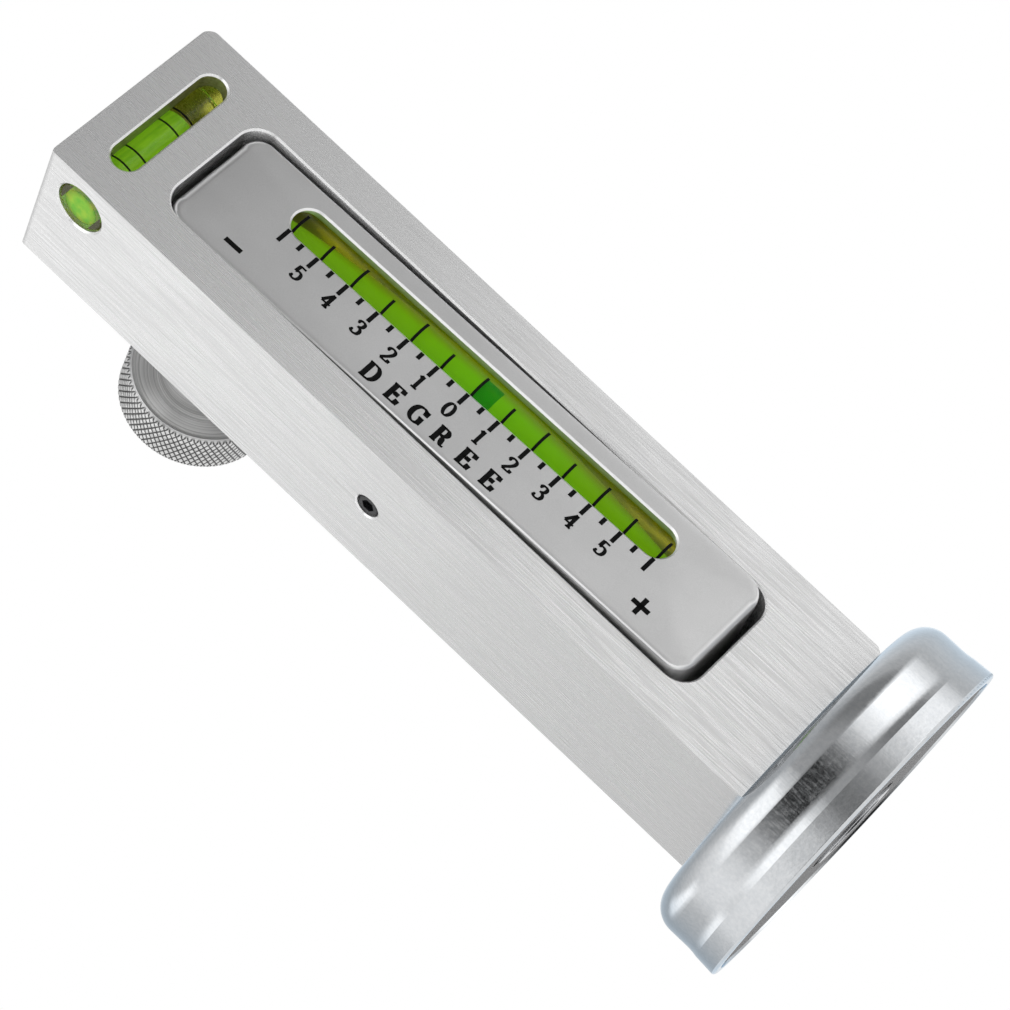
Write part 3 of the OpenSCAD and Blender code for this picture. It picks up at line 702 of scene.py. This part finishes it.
# painted shade: the liquid is coloured darker and olive towards its right
painted_olive_shade = between(tree, split_up(tree, place)["X"], 0.0046, 0.0072, 0.0, 0.75)
green_tone_and_shade = node_math(tree, "SUBTRACT", depth_tone, painted_olive_shade)
shade(tree, shader.inputs["Base Color"], green_tone_and_shade, -0.35, 0.7, (0.14, 0.17, 0.001), (0.10, 0.34, 0.002))
shader.inputs["Specular IOR Level"].default_value = 0.1
# painted light: the liquid glows in its own green, darker and olive towards its right
shade(tree, shader.inputs["Emission Color"], green_tone_and_shade, -0.35, 0.7, (0.19, 0.19, 0.001), (0.115, 0.40, 0.002))
shader.inputs["Emission Strength"].default_value = 0.74
shader.inputs["IOR"].default_value = 1.33

emerald, tree, shader = start_finish("bubble_green", (0.008, 0.17, 0.004), 0.0, 0.3)
swirl = grain(tree, own_place(tree), (500, 500, 500), 2.0, 11.0)
shade(tree, shader.inputs["Base Color"], swirl, 0.3, 0.7, (0.001, 0.15, 0.001), (0.004, 0.20, 0.003))
shader.inputs["Specular IOR Level"].default_value = 0.1
# painted light: the bubble glows green
shader.inputs["Emission Color"].default_value = (0.001, 0.18, 0.001, 1)
shader.inputs["Emission Strength"].default_value = 0.8

vial_x, vial_y, vial_r = 4.1, -8.6, 4.2
arc_r, barrel_r, barrel_half, neck_r = 348.0, 3.2, 40.0, 1.5
vial_z = 82.85


def sag(s, middle, arc):
    """A barrel's radius at s along it: the middle radius less the sag of the long arc."""
    return middle - arc + np.sqrt(arc * arc - s * s)


def vial_skins(r, half_a, half_b, fill_a, fill_b, middle, arc, neck):
    """A closed tube from half_a to half_b, a barrel from fill_a to fill_b and a neck at the upper end."""
    bevel = 0.3
    outer = [[0, half_a], [r - bevel, half_a], [r, half_a + bevel]]
    outer += [[r, half_b - bevel], [r - bevel, half_b], [neck, half_b]]
    s = np.linspace(fill_b, fill_a, 60)
    barrel = np.stack([sag(s, middle, arc), s], 1)
    inner = np.concatenate([[[neck, half_b], [neck, fill_b]], barrel, [[0, fill_a]]])
    return [(turned(outer, 64), True, 0), (turned(inner, 64), True, 1)]


def stood_in_plate(grid):
    """A vial drawn about the Z axis, moved to its bore in the plate."""
    return on_plate(grid + np.array([vial_x, vial_y, vial_z]))


tube_half = 43
skins = vial_skins(vial_r, -tube_half, tube_half, -barrel_half, barrel_half, barrel_r, arc_r, neck_r)
tube = build("camber_tube", [(stood_in_plate(grid), wrap, number) for grid, wrap, number in skins])
tube.data.materials.append(acrylic)
tube.data.materials.append(wetted)
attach(tube, "rocker")
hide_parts("camber_vial_tube")

film = 0.08
s = np.linspace(-barrel_half + film, barrel_half - 1, 60)
body_of_green = np.concatenate([[[0, s[0]]], np.stack([sag(s, barrel_r - film, arc_r), s], 1), [[0, s[-1]]]])
liquid = build("camber_liquid", [(stood_in_plate(turned(body_of_green, 64)), True, 0)])
liquid.data.materials.append(green)
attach(liquid, "rocker")
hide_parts("camber_vial_liquid")
dress("camber_vial_plug", acrylic)


def bore_plug(way):
    """A round plug at one end of the vial's bore, its face the plate's end with its rounded edge."""
    a = np.linspace(0, 2 * math.pi, 48, endpoint=False)[None, :]
    r = np.concatenate([np.linspace(0, 4.15, 16), [4.15, 0]])[:, None]
    x, y = vial_x + r * np.cos(a), vial_y + r * np.sin(a)
    fall = edge_r - np.sqrt(edge_r**2 - np.clip(edge_r - (y - front_y), 0, edge_r) ** 2)
    turn = corner_r - np.sqrt(corner_r**2 - np.clip(x - inner_x, 0, 3) ** 2)
    z = inner_z + corner_r - fall - turn - 0.03
    z[-2:] = inner_z + corner_r - 4.0
    return on_plate(np.stack([x, y, (lowest[2] + highest[2]) / 2 + way * z], -1))


bore_plugs = build("bore_plugs", [(bore_plug(way), True, 0) for way in (1, -1)])
bore_plugs.data.materials.append(satin)
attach(bore_plugs, "rocker")

# Bubble: a shallow pillow against the barrel's front, wide and short, its faces curved as the barrel
bubble_half, bubble_mid, bubble_wide = 1.75, -1.70, math.radians(38)
bubble_lift, bubble_deep, bubble_gap = 0.055, 0.45, 0.10
u = np.linspace(-1, 1, 25)[:, None]
v = np.linspace(-1, 1, 33)[None, :]
lobe = np.clip(1 - u**8, 0, 1) ** 0.25 * np.clip(1 - v**8, 0, 1) ** 0.25
pillow = []
for lift in (bubble_lift, bubble_lift - bubble_deep):
    angle = v * bubble_wide
    along = bubble_mid + u * bubble_half
    radius = sag(along, barrel_r - bubble_gap, arc_r) - bubble_gap + (lift + bubble_gap) * lobe
    x = vial_x + radius * np.sin(angle)
    y = vial_y - radius * np.cos(angle)
    pillow.append(np.stack([x + 0 * u, y + 0 * u, vial_z + along + 0 * v], -1))
bubble = build("camber_bubble_shape", [(on_plate(pillow[0]), False, 0), (on_plate(pillow[1]), False, 0)])
bubble.data.materials.append(emerald)
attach(bubble, "long_bubble")
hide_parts("camber_bubble")
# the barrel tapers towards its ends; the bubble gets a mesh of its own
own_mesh(bubble)


def ring_band(r, width, start, end, lift=0.02, steps=40):
    """A thin band round the Z axis from one angle to another, its section an oblong on the radius r."""
    a = np.linspace(math.radians(start), math.radians(end), steps)
    low, high = r - 0.03, r + lift
    section = [(low, -width / 2), (high, -width / 2), (high, width / 2), (low, width / 2)]
    return np.stack([np.stack([q * np.sin(a), -q * np.cos(a), np.full(steps, h)], -1) for q, h in section], 1)


lines = []
for k in range(-6, 7):
    band = capped(ring_band(vial_r, 0.48, -44, 22 if k % 2 == 0 else 7))
    lines.append((stood_in_plate(band + np.array([0, 0, zero_z - vial_z + k * degree - 0.15])), True, 0))
degree_lines = build("vial_degree_lines", lines)
degree_lines.data.materials.append(black_fill)
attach(degree_lines, "rocker")


# ---------------------------------------------------------------------------------------------
# Cross-level vial: a short tube of a paler acrylic pushed into the bar from its left side. It is
# filled as far as its third quarter, and four black rings stand round it.
level_y, level_z, level_r = -6.1, 143.9, 4.2
level_left, level_right, level_mid, level_arc, level_barrel = -16.8, 13.2, -3.2, 120.0, 3.1
green_left, green_right, mouth_r = -14.2, 4.5, 3.05


def laid_in_bar(grid):
    """A vial drawn about the Z axis, laid along X in its bore: Z becomes X, and X becomes -Z."""
    return np.stack([grid[..., 2] + level_mid, grid[..., 1] + level_y, level_z - grid[..., 0]], -1)


s = np.linspace(green_right - level_mid, green_left - level_mid, 40)
a, b = level_left - level_mid, level_right - level_mid
outer = [[mouth_r, a], [level_r - 0.3, a], [level_r, a + 0.3], [level_r, b - 0.3], [level_r - 0.3, b], [0, b]]
barrel = np.stack([sag(s, level_barrel, level_arc), s], 1)
inner = np.concatenate([[[0, s[0]]], barrel, [[mouth_r, s[-1]], [mouth_r, a]]])
skins = [(laid_in_bar(turned(outer, 64)), True, 0), (laid_in_bar(turned(inner, 64)), True, 1)]
level_tube = build("level_tube", skins)
level_tube.data.materials.append(moulded_acrylic("level_acrylic", (0.88, 0.89, 0.34)))
level_tube.data.materials.append(wetted)
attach(level_tube, "housing")
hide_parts("level_vial_tube")

bright_green, tree, shader = start_finish("level_liquid", (0.10, 0.30, 0.01), 0.0, 0.3)
streaks = grain(tree, own_place(tree), (150, 900, 900), 3.0, 13.0)
shade(tree, shader.inputs["Base Color"], streaks, 0.35, 0.65, (0.08, 0.27, 0.015), (0.26, 0.50, 0.03))
shader.inputs["Specular IOR Level"].default_value = 0.1
# painted light: the liquid glows green
shader.inputs["Emission Color"].default_value = (0.14, 0.34, 0.015, 1)
shader.inputs["Emission Strength"].default_value = 0.55
s = s[::-1] * 0.997
barrel = np.stack([sag(s, level_barrel - film, level_arc), s], 1)
body_of_green = np.concatenate([[[0, s[0]]], barrel, [[0, s[-1]]]])
level_liquid = build("level_liquid", [(laid_in_bar(turned(body_of_green, 64)), True, 0)])
level_liquid.data.materials.append(bright_green)
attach(level_liquid, "housing")
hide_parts("level_vial_liquid")


def off_axis(tree, first, second):
    """A point's distance from an axis: the root of the sum of the squares of its two offsets."""
    squares = [node_math(tree, "MULTIPLY", way, way) for way in (first, second)]
    return node_math(tree, "SQRT", node_math(tree, "ADD", *squares))


mouth, tree, shader = start_finish("mouth_green", (0.10, 0.22, 0.02), 0.0, 0.3)
place = own_place(tree)
apart = split_up(tree, place)
from_level_y = node_math(tree, "SUBTRACT", apart["Y"], level_y * MM)
from_level_z = node_math(tree, "SUBTRACT", apart["Z"], level_z * MM)
glint_cloud = grain(tree, place, (900, 500, 700), 3.0, 14.0)
from_middle = off_axis(tree, from_level_y, from_level_z)
# painted shade: the plug is coloured darker and olive towards its rim
rim_shade = node_math(tree, "ADD", from_middle, node_math(tree, "MULTIPLY", glint_cloud, 0.0009))
shade(tree, shader.inputs["Base Color"], rim_shade, 0.0023, 0.0036, (0.11, 0.25, 0.02), (0.05, 0.07, 0.005))
# painted highlights: the plug glows green to yellow in clouds
shade(tree, shader.inputs["Emission Color"], glint_cloud, 0.35, 0.66, (0.02, 0.30, 0.01), (0.42, 0.50, 0.03))
shader.inputs["Emission Strength"].default_value = 0.45
shader.inputs["Specular IOR Level"].default_value = 0.1
dress("level_vial_plug", mouth)

t = np.linspace(0, math.pi, 17)[:, None]
turn = np.linspace(0, 2 * math.pi, 32, endpoint=False)[None, :]
bubble_long, bubble_r, bubble_gap = 3.0, 1.15, 0.20
round_off = bubble_r * np.sin(t) ** 0.8
top_r = level_barrel - bubble_gap - bubble_r
bubble_x = level_mid - bubble_long * np.cos(t) + 0 * turn
bubble_y = level_y + round_off * np.cos(turn)
bubble_z = level_z + top_r + round_off * np.sin(turn)
level_bubble = build("level_bubble_shape", [(np.stack([bubble_x, bubble_y, bubble_z], -1), True, 0)])
level_bubble.data.materials.append(emerald)
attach(level_bubble, "cross_bubble")
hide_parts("level_bubble")

rings = []
for x in (-8.8, -5.9, 1.3, 4.4):
    band = capped(ring_band(level_r, 0.30, -80, 80))
    rings.append((laid_in_bar(band + np.array([0, 0, x - level_mid])), True, 0))
level_rings = build("level_rings", rings)
level_rings.data.materials.append(black_fill)
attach(level_rings, "housing")


# ---------------------------------------------------------------------------------------------
# Pivot: a ground steel pin through bar and plate, on which the plate rocks. A black headless screw
# with a hexagon socket shuts it in on each side of the bar.
ground = grained(
    "ground_steel", (0.56, 0.57, 0.59), 1.0, 0.28, (5000, 5000, 5000), 3.0, 15.0,
    (0.50, 0.51, 0.53), (0.62, 0.63, 0.65), (0.22, 0.36), 0.000004,
)
blacked = grained(
    "black_oxide", (0.015, 0.015, 0.017), 0.3, 0.28, (3000, 3000, 3000), 4.0, 17.0,
    (0.010, 0.010, 0.011), (0.030, 0.030, 0.033), (0.2, 0.42), 0.000008,
)
dress("pivot_pin", ground)
dress("pivot_set_screws", blacked)


# ---------------------------------------------------------------------------------------------
# Zeroing knob: turned steel with a diamond knurl rolled round its rim, on a threaded stud that
# pushes a nylon pad against the plate. A grub screw holds the knob, a brass bush is its nut.
def joined(tree, **ways):
    """A vector from the parts that are given; the others are nought."""
    whole = tree.nodes.new("ShaderNodeCombineXYZ")
    for way, value in ways.items():
        tree.links.new(value, whole.inputs[way])
    return whole.outputs[0]


knob_x, knob_z, knob_y, knob_r = -5.25, 120.0, 24.5, 12.4
knurls, knurl_depth, lead = 76, 0.14, math.tan(math.radians(30))
per_turn = knurls / (2 * math.pi)
turned_steel, tree, shader = start_finish("turned_steel", (0.50, 0.50, 0.51), 0.85, 0.34)
apart = split_up(tree, own_place(tree))
from_axis_x = node_math(tree, "SUBTRACT", apart["X"], knob_x * MM)
from_axis_z = node_math(tree, "SUBTRACT", apart["Z"], knob_z * MM)
radius_out = off_axis(tree, from_axis_x, from_axis_z)
tool_marks = grain(tree, joined(tree, X=radius_out, Y=apart["Y"]), (6000, 6000, 1), 4.0, 19.0)
round_knob = node_math(tree, "ARCTAN2", from_axis_z, from_axis_x)
up_rim = node_math(tree, "SUBTRACT", apart["Y"], knob_y * MM)
along_knob = node_math(tree, "MULTIPLY", up_rim, lead / (knob_r * MM))


def dirt_line(way):
    """How near a point lies to the bottom of a knurl groove that winds one way round, from 0 to 1."""
    turned_by = node_math(tree, "MULTIPLY", node_math(tree, way, round_knob, along_knob), per_turn)
    part = node_math(tree, "FRACT", node_math(tree, "ADD", turned_by, 0.5))
    off = node_math(tree, "ABSOLUTE", node_math(tree, "SUBTRACT", part, 0.5))
    return between(tree, off, 0.06, 0.20, 1, 0)
on_rim = between(tree, radius_out, 0.0119, 0.0122, 0, 1)
# painted shade: the knurl's grooves are coloured darker
groove_shade = node_math(tree, "MULTIPLY", on_rim, node_math(tree, "MAXIMUM", dirt_line("ADD"), dirt_line("SUBTRACT")))
marks_less_groove_shade = node_math(tree, "SUBTRACT", tool_marks, node_math(tree, "MULTIPLY", groove_shade, 0.6))
shade(tree, shader.inputs["Base Color"], marks_less_groove_shade, 0.0, 0.62, (0.06, 0.06, 0.06), (0.86, 0.86, 0.855))
roughen(tree, shader, tool_marks, 0.28, 0.42)
raise_by(tree, shader, tool_marks, 0.000008)

rim = np.concatenate(
    [
        [[11.8, 0.0], [12.25, 0.4]],
        np.stack([np.full(52, knob_r), np.linspace(0.46, 7.84, 52)], 1),
        [[12.2, 7.9], [12.12, 8.12], [11.85, 8.2]],
    ]
)
bored = np.array(
    [[3.05, 8.2], [3.05, -7.2], [3.3, -7.5], [6.7, -7.5], [7.2, -7.0], [7.2, 1.05], [7.4, 1.45], [7.8, 1.6]]
    + [[11.0, 0.3], [11.3, 0.0]]
)
profile = np.concatenate([bored, rim, [[11.1, 8.2], [3.05, 8.2]]])
grid = turned(profile, knurls * 8)
angle = np.linspace(0, 2 * math.pi, knurls * 8, endpoint=False)[None, :]
height = profile[:, 1:2]
twist = height * lead / knob_r


def groove(phase):
    """Depth of a V groove at a phase of one turn each: full at whole numbers, none half way."""
    away_from_groove = np.abs((phase + 0.5) % 1.0 - 0.5)
    return np.clip(1 - away_from_groove / 0.20, 0, 1)


cut = np.maximum(groove((angle + twist) * per_turn), groove((angle - twist) * per_turn))
deep = knurl_depth * cut * (profile[:, :1] > 12.3)
grid[..., :2] *= (1 - deep / np.maximum(profile[:, :1], 1e-6))[..., None]
knob_grid = np.stack([grid[..., 0] + knob_x, grid[..., 2] + knob_y, grid[..., 1] + knob_z], -1)
knob = build("knurled_knob", [(knob_grid, True, 0)], sharp=38)
knob.data.materials.append(turned_steel)
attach(knob, "adjuster")
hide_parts("adjuster_knob")
dress("adjuster_stud", ground)
dress("knob_grub_screw", blacked)

brass = grained(
    "turned_brass", (0.72, 0.52, 0.22), 1.0, 0.3, (4000, 4000, 4000), 3.0, 21.0,
    (0.64, 0.45, 0.18), (0.80, 0.60, 0.28), (0.24, 0.4),
)
dress("thread_bush", brass)

nylon = grained(
    "nylon", (0.80, 0.78, 0.70), 0.0, 0.45, (2500, 2500, 2500), 3.0, 23.0,
    (0.76, 0.74, 0.66), (0.84, 0.82, 0.75),
)
nylon.node_tree.nodes["Principled BSDF"].inputs["Subsurface Weight"].default_value = 0.1
dress("push_pad", nylon)

# Return spring: five wound turns of drawn wire behind the plate's foot, closer at both ends.
spring_turns, spring_r, wire_r = 5.0, 2.15, 0.35
spring_z, spring_low, spring_high = 40.0, -3.569, 8.50
t = np.linspace(0, 1, int(spring_turns * 40) + 1)
a = 2 * math.pi * spring_turns * t
share = 0.45 * t + 0.55 * t * t * (3 - 2 * t)
along = spring_low + wire_r + (spring_high - spring_low - 2 * wire_r) * share
middle = np.stack([spring_r * np.cos(a), along, spring_r * np.sin(a)], -1)
run = np.gradient(middle, axis=0)
run /= np.linalg.norm(run, axis=1, keepdims=True)
outward = np.stack([np.cos(a), 0 * a, np.sin(a)], -1)
side_way = np.cross(run, outward)
b = np.linspace(0, 2 * math.pi, 12, endpoint=False)[None, :, None]
wire = middle[:, None] + wire_r * (np.cos(b) * outward[:, None] + np.sin(b) * side_way[:, None])
spring = build("wound_spring", [(capped(wire) + np.array([0, 0, spring_z]), True, 0)])
spring.data.materials.append(ground)
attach(spring, "housing")
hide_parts("return_spring")
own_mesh(spring)


# ---------------------------------------------------------------------------------------------
# Magnet: a steel cup, deep drawn with a flared lip and bright zinc plated, round a ring of dark
# ferrite and a steel pole. One screw with a spring washer holds it to the bar.
zinc, tree, shader = start_finish("zinc_plate", (0.68, 0.70, 0.72), 1.0, 0.12)
shader.inputs["Specular Tint"].default_value = (0.76, 0.87, 0.97, 1)
place = own_place(tree)
apart = split_up(tree, place)
# the wall's marks are drawn on a cylinder, so they run straight down it and over its curved lip
wall_r = 0.030
unit = vector_step(tree, "NORMALIZE", joined(tree, X=apart["X"], Y=apart["Y"]))
wide = vector_step(tree, "SCALE", unit.outputs[0])
wide.inputs["Scale"].default_value = wall_r
wall_place = vector_step(tree, "ADD", wide.outputs[0], joined(tree, Z=apart["Z"]))
draw_marks = grain(tree, wall_place.outputs[0], (3200, 3200, 380), 5.0, 25.0)
pits = grain(tree, place, (1500, 1500, 1500), 4.0, 27.0)
rough_lay = two_parts(tree, draw_marks, 0.6, pits, 0.4)
shade(tree, shader.inputs["Base Color"], pits, 0.35, 0.65, (0.66, 0.68, 0.70), (0.72, 0.735, 0.75))
roughen(tree, shader, rough_lay, 0.07, 0.16, 0.35, 0.65)
raise_by(tree, shader, rough_lay, 0.000010)
dress("magnet_cup", zinc)

ferrite = grained(
    "ferrite", (0.10, 0.10, 0.105), 0.2, 0.45, (3500, 3500, 3500), 5.0, 29.0,
    (0.07, 0.07, 0.075), (0.15, 0.15, 0.155), (0.35, 0.6), 0.000010, 0.3,
)
dress("ring_magnet", ferrite)
dress("centre_pole", ground)
dress("magnet_screw", blacked)
dress("lock_washer", ground)
